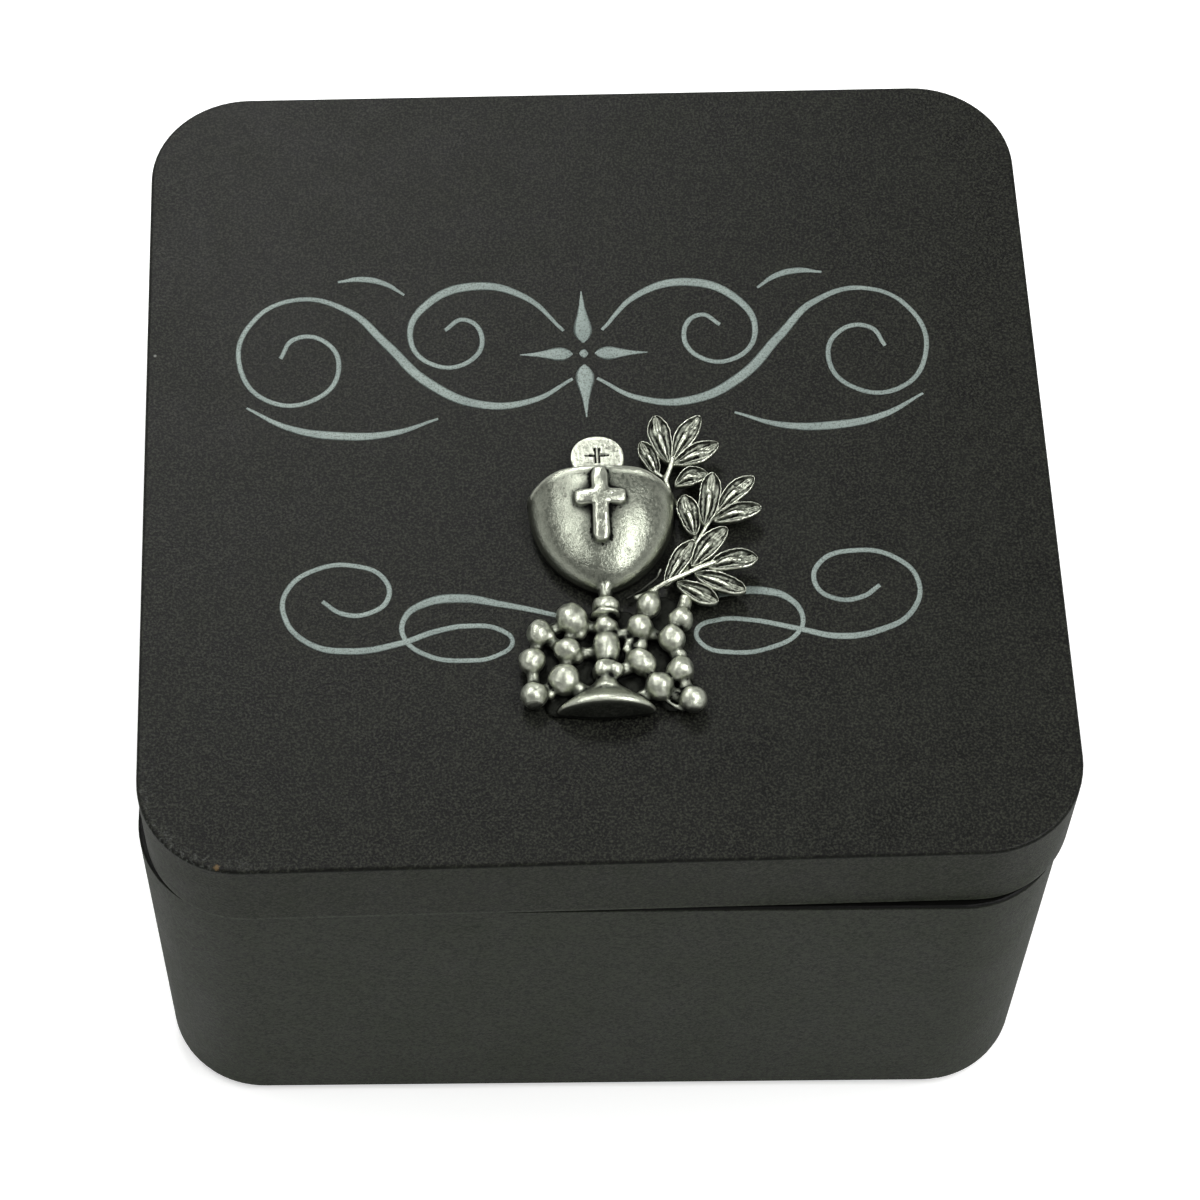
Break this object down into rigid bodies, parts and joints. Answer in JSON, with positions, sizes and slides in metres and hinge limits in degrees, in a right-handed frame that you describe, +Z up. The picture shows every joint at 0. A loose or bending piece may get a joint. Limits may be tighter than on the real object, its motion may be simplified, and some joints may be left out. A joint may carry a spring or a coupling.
{
  "type": "keepsake box with lift-off lid",
  "caption": "Small square box of black painted wood with a loose lift-off lid, felt lining, and a cast pewter chalice and leaf emblem on the lid.",
  "frame": {"origin": "centre of the underside, where the felt rests", "axes": "+Z up, the way the lid lifts; -Y to the front, the side the emblem's foot points to; +X right"},
  "size_m": [0.1032, 0.1032, 0.0688],
  "materials": {
    "black_painted_wood": "matt black paint with a rough grain",
    "black_felt": "felt",
    "grey_card": "plain",
    "antique_pewter": "antiqued, with dark recesses and burnished high parts",
    "clear_adhesive": "glossy"
  },
  "bodies": {
    "box": {"front_wall": "black_painted_wood", "front_liner": "black_painted_wood", "right_wall": "black_painted_wood", "right_liner": "black_painted_wood", "back_wall": "black_painted_wood", "back_liner": "black_painted_wood", "left_wall": "black_painted_wood", "left_liner": "black_painted_wood", "bottom_board": "black_painted_wood", "base_felt": "black_felt", "floor_felt": "black_felt", "floor_card": "grey_card"},
    "lid": {"lid_front_rail": "black_painted_wood", "lid_right_rail": "black_painted_wood", "lid_back_rail": "black_painted_wood", "lid_left_rail": "black_painted_wood", "lid_top_board": "black_painted_wood", "lid_felt": "black_felt", "lid_card": "grey_card", "chalice_emblem": "antique_pewter", "emblem_adhesive": "clear_adhesive"}
  },
  "joints": [
    {"name": "lid_lift", "type": "slide", "parent": "box", "child": "lid", "axis": [0, 0, 1], "range_m": [0, 0.08]}
  ]
}
